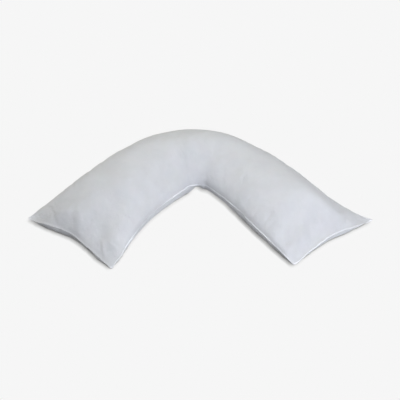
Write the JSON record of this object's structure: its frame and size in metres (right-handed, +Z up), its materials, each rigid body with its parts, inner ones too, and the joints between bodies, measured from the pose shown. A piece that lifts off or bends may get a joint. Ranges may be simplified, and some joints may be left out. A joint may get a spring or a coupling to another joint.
{
  "type": "v-shaped pillow",
  "caption": "Filled bed pillow shaped like a wide V, with a rounded bend, two long arms and a sewn edge with an ear at each corner, lying flat.",
  "frame": {"origin": "middle of the pillow's footprint, on the surface that it lies on", "axes": "+X along the spread of the two arms, towards the right-hand arm; +Y towards the bend, away from the open side; +Z up through the filling"},
  "size_m": [1.1462, 0.625, 0.1601],
  "materials": {
    "cloth": "plain woven cotton, matt, cool white"
  },
  "bodies": {
    "root": {"pillow": "cloth"}
  },
  "joints": []
}
